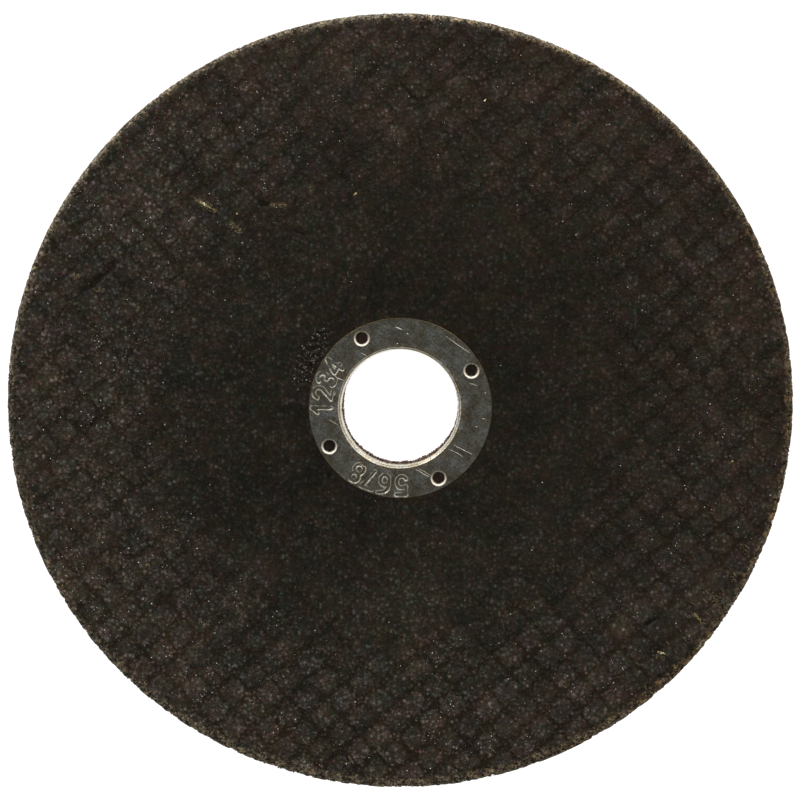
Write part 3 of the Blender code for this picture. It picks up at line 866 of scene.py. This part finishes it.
def ring_painted_highlight(x, y, z):
    """Share of painted highlight on the ring: the flare of each hole, most on its lower side, and the lips
    of the figures.
    """
    share = stamped(x, y)[1] * (z > FLANGE_TOP - 0.2 * MM)
    for angle in HOLE_ANGLES:
        off_x, off_y = x - HOLE_CIRCLE * math.cos(angle), y - HOLE_CIRCLE * math.sin(angle)
        away = np.hypot(off_x, off_y)
        flare = away < HOLE_RADIUS + FLARE_REACH[0] - 0.01 * MM
        # Painted highlight: each flare painted bright, most on its lower side, which faces the brighter
        # light
        share[flare] = (0.60 - 0.34 * off_y / away)[flare]
    return share


def set_lip(grid):
    """Widen the rolled lip a little and shift it off centre, easing out down the sleeve and outwards."""
    x, y, z = grid[..., 0], grid[..., 1], grid[..., 2]
    radius, turn = np.hypot(x, y), np.arctan2(y, x)
    share = (1 - ease(1.0 * MM, 2.6 * MM, radius - BORE_RADIUS)) * ease(1.3 * MM, FLANGE_TOP - 0.4 * MM, z)
    out = share * (LIP_WIDER + LIP_SHIFT * np.cos(turn - LIP_SHIFT_TURN))
    grid[..., 0] += out * np.cos(turn)
    grid[..., 1] += out * np.sin(turn)


def make_arbor_ring(material):
    """The steel pressing: its section carried round, figures stamped in the flange, holes punched."""
    radius, height, (first, last) = ring_profile()
    turns = ring_turns()
    grid = turned_grid(radius[:, None], height[:, None], turns[None])
    face = grid[first:last]
    wave = 0.008 * MM * value_noise(face[..., 0], face[..., 1], 4 * MM, 91)
    hold = ease(0, 0.4 * MM, FLANGE_RADIUS - FLANGE_EDGE_RADIUS - radius[first:last])[:, None]
    face[..., 2] += (stamped(face[..., 0], face[..., 1])[0] + wave - 0.008 * MM) * hold
    face[..., 2] = np.minimum(face[..., 2], FLANGE_TOP)
    set_lip(grid)
    faces = [grid_faces(len(radius), len(turns), 0, wrap_rows=True)]
    piece = new_piece("steel_ring", grid.reshape(-1, 3), faces, material, merge=True)
    for angle in HOLE_ANGLES:
        cutter = make_hole_cutter(angle)
        cut = piece.modifiers.new("punch", "BOOLEAN")
        cut.object = cutter
        bpy.context.view_layer.update()
        finished = piece.evaluated_get(bpy.context.evaluated_depsgraph_get())
        punched = bpy.data.meshes.new_from_object(finished)
        piece.modifiers.clear()
        piece.data = punched
        bpy.data.objects.remove(cutter)
    piece.data.name = "steel_ring"
    piece.data.polygons.foreach_set("use_smooth", np.full(len(piece.data.polygons), True))
    piece.data.set_sharp_from_angle(angle=CRISP_ANGLE)
    add_float(piece.data, "burr", ring_painted_highlight(*mesh_points(piece.data)))
    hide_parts("arbor_ring")
    return piece


class Nodes:
    """A node tree under construction, with short calls for the nodes that it needs."""

    def __init__(self, tree):
        self.tree = tree

    def add(self, kind, *values, **settings):
        """A new node with its settings, and with the values fed to its inputs in turn."""
        made = self.tree.nodes.new(kind)
        for key, value in settings.items():
            setattr(made, key, value)
        for socket, value in zip(made.inputs, values):
            self.feed(socket, value)
        return made

    def feed(self, socket, value):
        """Link a socket to another node's result, or set its value; a colour is made opaque."""
        if isinstance(value, bpy.types.NodeSocket):
            self.tree.links.new(value, socket)
        elif isinstance(value, tuple) and len(value) == 3 and len(socket.default_value) == 4:
            socket.default_value = (*value, 1.0)
        else:
            socket.default_value = value

    def fill(self, node, **values):
        """Feed a node's inputs by their names."""
        for name, value in values.items():
            self.feed(node.inputs[name.replace("_", " ")], value)
        return node

    def math(self, operation, *values):
        """Result of one operation on numbers."""
        return self.add("ShaderNodeMath", *values, operation=operation).outputs[0]

    def plus(self, first, second):
        """Sum of two numbers."""
        return self.math("ADD", first, second)

    def times(self, first, second):
        """Product of two numbers."""
        return self.math("MULTIPLY", first, second)

    def distance(self, x, y):
        """Root of the sum of two squares."""
        return self.math("SQRT", self.plus(self.times(x, x), self.times(y, y)))

    def between(self, value, low, high, to_low=0.0, to_high=1.0, smooth=True):
        """A range carried over to another and held at its ends, eased by 3t^2 - 2t^3 if smooth."""
        return self.add("ShaderNodeMapRange", value, low, high, to_low, to_high,
                        interpolation_type="SMOOTHSTEP" if smooth else "LINEAR").outputs[0]

    def parts(self, vector):
        """The three numbers of a place or of a colour."""
        return self.add("ShaderNodeSeparateXYZ", vector).outputs

    def either(self, share, first, second):
        """A number between two others, by its share of the second."""
        made = self.add("ShaderNodeMix", share, data_type="FLOAT")
        self.feed(made.inputs[2], first)
        self.feed(made.inputs[3], second)
        return made.outputs[0]

    def any_ray(self, *names):
        """1 for a ray of one of the named kinds, and 0 for any other."""
        path = self.add("ShaderNodeLightPath").outputs
        total = path[names[0]]
        for name in names[1:]:
            total = self.math("MAXIMUM", total, path[name])
        return total


class Shader(Nodes):
    """A material under construction, with patterns by place on the piece."""

    def __init__(self, name):
        self.material = bpy.data.materials.new(name)
        self.material.use_nodes = True
        super().__init__(self.material.node_tree)
        self.surface = self.tree.nodes["Principled BSDF"]
        self.place = self.add("ShaderNodeTexCoord").outputs["Object"]

    def mix(self, share, first, second, blend="MIX"):
        """A colour between two others, by its share of the second."""
        made = self.add("ShaderNodeMix", share, data_type="RGBA", blend_type=blend)
        self.feed(made.inputs[6], first)
        self.feed(made.inputs[7], second)
        return made.outputs[2]

    def tinted(self, color, tint):
        """A colour times another, each channel by itself."""
        return self.mix(1.0, color, tint, "MULTIPLY")

    def scaled(self, color, factor):
        """A colour times a number, as a vector product."""
        made = self.add("ShaderNodeVectorMath", color, operation="SCALE")
        return self.fill(made, Scale=factor).outputs[0]

    def clouds(self, cell, detail, roughness, place=None):
        """Soft random clouds of a size, with as many finer layers as the detail says."""
        made = self.add("ShaderNodeTexNoise", place or self.place)
        return self.fill(made, Scale=1 / cell, Detail=detail, Roughness=roughness)

    def noise(self, cell, detail=2.0, roughness=0.5, place=None):
        """One random number by place, round a half."""
        return self.clouds(cell, detail, roughness, place).outputs[0]

    def tinge(self, cell, amount):
        """A colour round white that drifts by place, each channel by itself and red the most."""
        amounts = (1.5 * amount, amount, amount)
        lowest = tuple(1 - each / 2 for each in amounts)
        color = self.clouds(cell, 3.0, 0.65).outputs["Color"]
        return self.add(
            "ShaderNodeVectorMath", color, amounts, lowest, operation="MULTIPLY_ADD").outputs[0]

    def cells(self, cell):
        """Random cells: distance to the cell's own point, and three random numbers of the cell."""
        made = self.add("ShaderNodeTexVoronoi", self.place)
        self.fill(made, Scale=1 / cell)
        return made.outputs["Distance"], self.parts(made.outputs["Color"])

    def ramp(self, value, stops):
        """A colour by a number, straight between the stops."""
        made = self.add("ShaderNodeValToRGB", value)
        points = made.color_ramp.elements
        while len(points) < len(stops):
            points.new(0.5)
        for point, (place, color) in zip(points, stops):
            point.position = place
            point.color = (*color, 1.0)
        return made.outputs[0]

    def attribute(self, name):
        """The number that each vertex of the piece holds under a name."""
        return self.add("ShaderNodeAttribute", attribute_name=name).outputs["Fac"]

    def stretched(self, degrees, along, across):
        """Object coordinates turned about Z and divided by a length along and one across."""
        made = self.add("ShaderNodeMapping", self.place, vector_type="TEXTURE")
        self.fill(made, Rotation=(0, 0, math.radians(degrees)), Scale=(along, across, across))
        return made.outputs[0]

    def bump(self, height):
        """Normal from a height in metres."""
        made = self.add("ShaderNodeBump")
        return self.fill(made, Height=height, Distance=1.0, Strength=1.0).outputs[0]

    def finish(self, **values):
        """The material, once its surface has its values."""
        self.fill(self.surface, **values)
        return self.material


# Spots of the face whose mix is darker or paler: place and reach in mm, and level in the middle
TONE_SPOTS = (
    (-34, -9, 26, 0.85), (4, -45, 26, 1.32), (48, -45, 30, 1.10), (-48, -45, 30, 1.08))


def mix_tones(s):
    """Darkest and lightest tone of the resin-bound mix by place, its hue there, and the radius.

    Both are near black on the hub and open out towards the rim, where the light one is a warm grey.
    The left and the bottom are paler and the top darker, which is painted light for how the light falls
    across the face, and the right and the top are warmer; a spot left of the ring is darker, and three
    below it are paler. The last value is how calm the mix looks: least at lower left.
    """
    x, y, _ = s.parts(s.place)
    radius = s.distance(x, y)
    outward = s.between(radius, 0.015, 0.075, smooth=False)
    dark = s.ramp(outward, [
        (0.0, (0.0110, 0.0052, 0.0036)),
        (0.06, (0.0048, 0.0034, 0.0010)),
        (0.45, (0.0060, 0.0042, 0.0014)),
        (0.75, (0.0092, 0.0060, 0.0024)),
        (1.0, (0.0105, 0.0064, 0.0026))])
    light = s.ramp(outward, [
        (0.0, (0.0240, 0.0130, 0.0090)),
        (0.06, (0.0270, 0.0230, 0.0158)),
        (0.45, (0.0465, 0.0390, 0.0278)),
        (0.75, (0.0860, 0.0710, 0.0545)),
        (1.0, (0.0920, 0.0720, 0.0540))])
    # Painted light: the face is made paler to the left and at the bottom and darker at the top, for light
    # that falls brighter on the lower left
    paler = s.between(s.math("MULTIPLY_ADD", y, 0.3, x), -0.07, 0.07, 1.25, 0.94, smooth=False)
    paler = s.times(paler, s.between(y, 0.03, 0.07, 1.0, 0.90))
    paler = s.times(paler, s.between(s.math("MULTIPLY_ADD", x, 0.1, y), -0.048, -0.015, 1.02, 1.0))
    for aside, up, reach, level in TONE_SPOTS:
        off = s.distance(s.math("SUBTRACT", x, aside * MM), s.math("SUBTRACT", y, up * MM))
        paler = s.times(paler, s.between(off, 0.2 * reach * MM, reach * MM, level, 1.0))
    cloud = s.times(s.between(s.noise(11 * MM, 4.0, 0.6), 0.3, 0.7, 0.80, 1.22), paler)
    cloud = s.times(cloud, s.between(s.noise(4.5 * MM, 3.0, 0.6), 0.34, 0.66, 0.87, 1.13))
    warm = s.between(s.plus(x, y), -0.02, 0.07)
    hue = s.mix(warm, (0.99, 1.0, 1.05), (1.025, 0.978, 0.985))
    hue = s.tinted(hue, s.tinge(1.1 * MM, 0.72))
    hue = s.tinted(hue, s.tinge(4.5 * MM, 0.42))
    calm = s.between(s.math("MULTIPLY_ADD", y, 0.7, x), -0.030, 0.040)
    return s.scaled(dark, cloud), s.scaled(light, cloud), hue, radius, calm


def mix_color(s, dark, light, hue, lift, calm):
    """Colour of the mix: grey grains, clumps and flecks over near-black brown, in drifting hues.

    The lift, a number round 0, makes a single grain lighter or darker than what lies round it, and
    where the mix is calm the grains stand out less. The second value is the tint of the gloss,
    brown in the dark gaps and nearly white on pale grains, and the third is the distance from the
    middle of the nearest grain, in cells.
    """
    distance, (red, _, _) = s.cells(0.80 * MM)
    mound = s.times(s.between(distance, 0.20, 0.54, 1.0, 0.0), s.between(red, 0.0, 1.0, 0.15, 1.25))
    nearby, (shade, _, _) = s.cells(0.46 * MM)
    crumb = s.times(s.between(nearby, 0.10, 0.60, 1.0, 0.0), s.between(shade, 0.1, 1.0, 0.0, 1.2))
    inside, (present, _, _) = s.cells(1.25 * MM)
    clump = s.times(s.between(inside, 0.24, 0.56, 1.0, 0.0), s.between(present, 0.15, 0.55))
    flecks = s.between(s.noise(0.50 * MM, 4.0, 0.7), 0.38, 0.64)
    patches = s.between(s.noise(2.0 * MM, 3.0, 0.6), 0.35, 0.65, 0.50, 1.14)
    grains = s.math("MULTIPLY_ADD", mound, 0.58, s.math("MULTIPLY_ADD", flecks, 0.22, lift))
    grains = s.plus(s.math("MULTIPLY_ADD", crumb, 0.18, grains), 0.045)
    contrast = s.times(patches, s.between(clump, 0, 1, 0.62, 1.38))
    share = s.times(s.math("MAXIMUM", grains, 0.0), contrast)
    share = s.math("MULTIPLY_ADD", share, s.between(calm, 0, 1, 1.0, 0.80), s.times(calm, 0.035))
    gloss = s.mix(s.between(share, 0.0, 0.6), (1.0, 0.88, 0.71), (1.0, 0.97, 0.92))
    return s.tinted(s.mix(share, dark, light), hue), s.tinted(gloss, hue), distance


def abrasive_mix():
    """Resin and grain of the body: cool and pale on the pillows, brown and dark in the gaps.

    The outline of a pillow is that of mesh_gap, made ragged, and each pillow has its own tone. The
    chipped patch is near black, the tears are painted black as shade in their hollows, and by the rim
    the mix takes on the tone of the cut edge.
    """
    s = Shader("abrasive_mix")
    dark, light, hue, radius, calm = mix_tones(s)
    warp, weft, _ = s.parts(s.add("ShaderNodeUVMap", uv_map="weave").outputs[0])

    def fourth_power(place, strand_width):
        """Fourth power of the way from a pillow's middle, as a share of its half width."""
        from_middle = s.math("SUBTRACT", 0.5, s.math("PINGPONG", place, 0.5))
        half_width = 0.5 - 0.5 * strand_width / PITCH
        return s.math("POWER", s.times(from_middle, 1 / half_width), 4.0)

    outline = s.plus(fourth_power(warp, WARP_WIDTH), fourth_power(weft, WEFT_WIDTH))
    outline = s.plus(outline, s.between(s.noise(0.9 * MM, 3.0, 0.6), 0.3, 0.7, -0.50, 0.50))
    sunk = s.times(s.between(outline, GAP_START, GAP_FULL), s.attribute("quilt"))
    lift = s.between(sunk, 0, 1, 0.02, -0.15)
    color, gloss, distance = mix_color(s, dark, light, hue, lift, calm)
    color = s.tinted(color, s.mix(sunk, (1.06, 1.09, 1.13), (0.87, 0.83, 0.77)))
    color = s.scaled(color, s.math("MULTIPLY_ADD", s.attribute("pillow"), 0.15, 1.01))
    # The chipped patch is darkened to near black; in the tears the black is painted shade in their hollows
    color = s.mix(s.times(s.attribute("chipped"), 0.90), color, (0.006, 0.004, 0.002))
    tone, share = edge_tone(s)
    _, (red, green, _) = s.cells(0.5 * MM)
    speckle = s.between(s.noise(0.35 * MM, 3.0, 0.7), 0.36, 0.64, 0.15, 1.7)
    grit = s.times(s.between(red, 0, 1, 0.2, 1.6), speckle)
    color = s.mix(share, color, s.scaled(tone, grit))
    fine = s.times(s.noise(0.3 * MM, 2.0), 0.08 * MM)
    relief = s.math("MULTIPLY_ADD", distance, -0.12 * MM, fine)
    relief = s.times(relief, s.between(radius, 0.018, 0.060, 0.5, 1.0))
    return s.finish(Base_Color=color, Roughness=s.between(green, 0, 1, 0.38, 0.62),
                    Specular_IOR_Level=0.26, Specular_Tint=gloss, Normal=s.bump(relief))


def resin_grain():
    """Grains under a skin of resin: the mix's colour, each a little lighter or darker."""
    s = Shader("resin_grain")
    dark, light, hue, _, calm = mix_tones(s)
    lift = s.between(s.attribute("tint"), 0, 1, -0.22, 0.34, smooth=False)
    color, gloss, _ = mix_color(s, dark, light, hue, lift, calm)
    fine = s.times(s.noise(0.22 * MM, 2.0), 0.06 * MM)
    return s.finish(Base_Color=color, Roughness=0.40, Specular_IOR_Level=0.28,
                    Specular_Tint=gloss, Normal=s.bump(fine))


def bare_grain_and_glint():
    """Bare crystals, each of one tint: dark, rusty, golden or, the last ones, pale and clear. The pale
    grey is their own colour, and the near white at the top of the ramp is a painted glint.
    """
    s = Shader("bare_grain_and_glint")
    # Painted glint: the tints above 0.62 run up to near white, colour that stands for the sparkle of the
    # crystals
    color = s.ramp(s.attribute("tint"), [
        (0.0, (0.030, 0.024, 0.018)),
        (0.35, (0.070, 0.060, 0.050)),
        (0.45, (0.150, 0.075, 0.045)),
        (0.56, (0.210, 0.150, 0.075)),
        (0.62, (0.220, 0.200, 0.190)),
        (1.0, (0.90, 0.86, 0.84))])
    return s.finish(Base_Color=color, Roughness=0.25, Specular_IOR_Level=0.7)


def golden_grain():
    """Grains stained golden to orange, the palest almost white."""
    s = Shader("golden_grain")
    color = s.ramp(s.attribute("tint"), [
        (0.0, (0.060, 0.038, 0.016)), (0.4, (0.205, 0.152, 0.046)),
        (0.75, (0.50, 0.41, 0.14)), (1.0, (0.86, 0.80, 0.58))])
    return s.finish(Base_Color=color, Roughness=0.4, Specular_IOR_Level=0.5)


def edge_tone(s):
    """Colour of the cut edge by place, and how far a point belongs to it.

    The wall and the rounding at the top are pale beige, the rounding elsewhere is darker, and at
    the right it is stained golden brown.
    """
    x, y, z = s.parts(s.place)
    radius = s.distance(x, y)
    east, north = s.math("DIVIDE", x, radius), s.math("DIVIDE", y, radius)
    pale = s.between(s.math("MULTIPLY_ADD", east, -0.35, north), 0.1, 0.95)
    pale = s.math("MAXIMUM", pale, s.between(z, FACE_Z - 0.9 * MM, FACE_Z - 0.5 * MM, 1.0, 0.0))
    outermost = s.between(radius, DISC_RADIUS - 1.0 * MM, DISC_RADIUS - 0.15 * MM)
    pale = s.times(pale, outermost)
    patchy = s.between(s.noise(1.3 * MM, 4.0, 0.65), 0.32, 0.68, 0.60, 1.4)
    stained = s.times(s.between(east, -0.2, 0.8), s.between(s.noise(2.5 * MM), 0.30, 0.62))
    plain = s.mix(stained, (0.076, 0.059, 0.037), (0.074, 0.047, 0.019))
    tone = s.mix(pale, plain, s.mix(stained, (0.215, 0.174, 0.115), (0.300, 0.218, 0.110)))
    low_side = s.between(north, -1.0, -0.45, 0.80 * MM, 0.05 * MM)
    reach = s.between(s.noise(1.1 * MM, 3.0, 0.6), 0.3, 0.7, -0.45 * MM, 0.45 * MM)
    reach = s.plus(reach, s.plus(low_side, s.between(north, 0.2, 0.7, 0.0, -0.20 * MM)))
    share = s.between(s.plus(radius, reach), DISC_RADIUS - 1.7 * MM, DISC_RADIUS - 0.7 * MM)
    return s.scaled(tone, patchy), share


def edge_grain():
    """Grains of the cut edge: beige and grey, dark ones between, and the dark mix further in."""
    s = Shader("edge_grain")
    tone, share = edge_tone(s)
    tint = s.attribute("tint")
    color = s.mix(share, (0.024, 0.018, 0.012), tone)
    color = s.scaled(color, s.between(s.math("POWER", tint, 2.4), 0, 1, 0.12, 3.1, smooth=False))
    fine = s.times(s.noise(0.2 * MM, 2.0), 0.05 * MM)
    return s.finish(Base_Color=color, Roughness=0.5, Specular_IOR_Level=0.3, Normal=s.bump(fine))


def crumb_mix():
    """Crumbs of resin torn at the bore: near black, some with a red-brown break."""
    s = Shader("crumb_mix")
    color = s.ramp(s.attribute("tint"), [
        (0.0, (0.020, 0.010, 0.007)), (0.5, (0.110, 0.062, 0.044)), (1.0, (0.42, 0.29, 0.23))])
    return s.finish(Base_Color=color, Roughness=0.55, Specular_IOR_Level=0.3)


def glass_strand():
    """Resin-stained glass: dull beige, streaked along with brown, darker at places."""
    s = Shader("glass_strand")
    streak = s.noise(1.0, 3.0, place=s.stretched(STRAND_LEAN, 1.2 * MM, 0.12 * MM))
    stain = s.noise(0.9 * MM)
    color = s.ramp(streak, [
        (0.3, (0.028, 0.019, 0.009)), (0.5, (0.080, 0.060, 0.034)), (0.68, (0.170, 0.136, 0.086))])
    color = s.mix(s.between(stain, 0.42, 0.62), color, (0.028, 0.019, 0.009))
    fine = s.times(streak, 0.05 * MM)
    return s.finish(Base_Color=color, Roughness=0.5, Specular_IOR_Level=0.3, Normal=s.bump(fine))


def zinced_steel():
    """Dull zinc on steel: grey-green, mottled golden and bluish, scratched, with painted highlights at
    edges.

    The sheared edge of the flange is stained golden brown, and the metal by the lip is painted brighter
    all round, a painted highlight.
    """
    s = Shader("zinced_steel")
    cloud = s.noise(2.4 * MM, 4.0, 0.6)
    color = s.ramp(cloud, [
        (0.32, (0.36, 0.32, 0.225)), (0.50, (0.41, 0.395, 0.325)), (0.68, (0.47, 0.49, 0.46))])
    stain = s.between(s.noise(0.8 * MM, 4.0, 0.65), 0.50, 0.68)
    color = s.mix(s.times(stain, 0.55), color, (0.38, 0.30, 0.17))
    steep, flat, crossing = [
        s.noise(1.0, 3.0, 0.6, s.stretched(degrees, 3.0 * MM, 0.13 * MM)) for degrees in (-41, -30, 64)]
    brushed = s.plus(s.plus(flat, steep), crossing)
    fine = s.noise(0.27 * MM, 3.0, 0.65)
    dusty = s.between(fine, 0.32, 0.68, -0.38, 0.38)
    dusty = s.plus(s.between(brushed, 1.2, 1.8, -0.24, 0.24), dusty)
    color = s.scaled(color, s.plus(dusty, 1.0))
    x, y, _ = s.parts(s.place)
    radius = s.distance(x, y)
    sheared = s.between(radius, FLANGE_RADIUS - 0.22 * MM, FLANGE_RADIUS - 0.08 * MM)
    color = s.mix(sheared, color, (0.22, 0.165, 0.085))
    # Painted highlight: the lip and the flange just outside it are painted brighter all round
    lip_highlight = s.between(radius, BORE_RADIUS + 0.9 * MM, BORE_RADIUS + 2.0 * MM, 1.0, 0.0)
    color = s.mix(lip_highlight, color, s.tinted(color, (1.25, 1.19, 1.17)))
    # Painted highlight: the hole flares and the figures' rims are mixed towards bright cream and white
    burr = s.attribute("burr")
    color = s.mix(s.times(burr, 1.4), color, s.mix(burr, (0.62, 0.52, 0.34), (0.88, 0.82, 0.70)))
    relief = s.plus(s.times(brushed, 0.006 * MM), s.times(fine, 0.02 * MM))
    rough = s.math("MULTIPLY_ADD", burr, 0.15, s.between(cloud, 0.3, 0.7, 0.24, 0.36))
    metallic = s.between(burr, 0, 1, 1.0, 0.45)
    return s.finish(Base_Color=color, Metallic=metallic, Roughness=rough, Normal=s.bump(relief))


def raw_steel():
    """Bare steel turned up by a scratch: bright, from white to golden."""
    s = Shader("raw_steel")
    color = s.mix(s.between(s.noise(0.6 * MM), 0.35, 0.65), (0.90, 0.88, 0.84), (0.75, 0.62, 0.42))
    return s.finish(Base_Color=color, Metallic=0.5, Roughness=0.35)


# The floor, and the levels of the studio: for plain surfaces, for what is seen past the floor, and
# for a gloss that looks straight up
FLOOR_SIZE = 6.0
FLOOR_GAP = 0.02 * MM
FLOOR_GREY = 0.86
FLOOR_GLOW = 0.6
FILL = 0.90
WHITE = 1.1
OVERHEAD = 0.095
# Each lamp: name, place, width and height, and power
LAMPS = (
    ("window_left", (-0.75, 0.95, 0.85), (0.5, 0.4), 3.0),
    ("window_right", (0.70, 0.85, 0.80), (0.4, 0.4), 2.0))


def make_stage():
    """White floor under the disc: it takes the shadow, and glows for the camera and for a gloss."""
    bpy.ops.mesh.primitive_plane_add(size=FLOOR_SIZE, location=(0, 0, -FLOOR_GAP))
    floor = bpy.context.object
    floor.name = "floor"
    material = bpy.data.materials.new("floor")
    material.use_nodes = True
    nodes = Nodes(material.node_tree)
    nodes.tree.nodes.remove(nodes.tree.nodes["Principled BSDF"])
    seen = nodes.any_ray("Is Camera Ray", "Is Glossy Ray", "Is Transmission Ray")
    diffuse = nodes.add("ShaderNodeBsdfDiffuse", (FLOOR_GREY, FLOOR_GREY, FLOOR_GREY))
    glow = nodes.fill(nodes.add("ShaderNodeEmission"), Strength=nodes.times(seen, FLOOR_GLOW))
    both = nodes.add("ShaderNodeAddShader", diffuse.outputs[0], glow.outputs[0])
    nodes.fill(nodes.tree.nodes["Material Output"], Surface=both.outputs[0])
    floor.data.materials.append(material)


def make_light():
    """A white studio: even light all round, which a gloss sees bright low down and dim overhead."""
    world = bpy.data.worlds.new("studio")
    bpy.context.scene.world = world
    world.use_nodes = True
    nodes = Nodes(world.node_tree)
    _, y, z = nodes.parts(nodes.add("ShaderNodeTexCoord").outputs["Generated"])
    low_down = nodes.between(z, 0.25, 0.99, 1.0, 0.0)
    window_side = nodes.between(y, -0.5, 0.8, 0.06, 1.8, smooth=False)
    glossy = nodes.math("MULTIPLY_ADD", nodes.times(low_down, window_side), 1.1, OVERHEAD)
    level = nodes.either(nodes.any_ray("Is Glossy Ray"), FILL, glossy)
    level = nodes.either(nodes.any_ray("Is Camera Ray"), level, WHITE)
    nodes.fill(nodes.tree.nodes["Background"], Color=(1.0, 1.0, 1.0), Strength=level)
    for name, place, size, energy in LAMPS:
        lamp = bpy.data.lights.new(name, "AREA")
        lamp.shape = "RECTANGLE"
        lamp.size, lamp.size_y = size
        lamp.energy = energy
        made = bpy.data.objects.new(name, lamp)
        bpy.context.scene.collection.objects.link(made)
        made.location = place
        made.rotation_mode = "QUATERNION"
        made.rotation_quaternion = Vector(place).to_track_quat("Z", "Y")


def make_camera():
    """The camera of the photograph, turned to the axes that camera_axes gives."""
    eye, right, up, forward = camera_axes()
    lens = bpy.data.cameras.new("camera")
    lens.sensor_width = SENSOR
    lens.lens = LENS
    lens.clip_start = 0.01
    camera = bpy.data.objects.new("camera", lens)
    bpy.context.scene.collection.objects.link(camera)
    turn = np.eye(4)
    turn[:3, 0], turn[:3, 1], turn[:3, 2], turn[:3, 3] = right, up, -forward, eye
    camera.matrix_world = Matrix(turn.tolist())
    bpy.context.scene.camera = camera


make_camera()
make_stage()
make_light()
skin = resin_grain()
bare = bare_grain_and_glint()
steel = zinced_steel()
make_abrasive_body(abrasive_mix())
make_arbor_ring(steel)
make_face_grit("front_grit", 1, FACE_Z, FLANGE_RADIUS + SEAT_CLEARANCE, 0.88 * MM, FRONT_SEED, 61, skin)
make_face_grit("back_grit", -1, GRIT_STAND, BORE_RADIUS + 0.3 * MM, 1.05 * MM, BACK_SEED, 65, skin)
make_bare_crystals(bare)
make_rim_grit(edge_grain())
crumbs = crumb_mix()
make_bore_crumbs(crumbs)
make_hole_crumbs(crumbs)
make_chip_grains(bare)
make_golden_grains(golden_grain())
make_strands(glass_strand())
make_ring_scratches(raw_steel())

bpy.context.scene.view_settings.view_transform = "Standard"
bpy.context.view_layer.update()
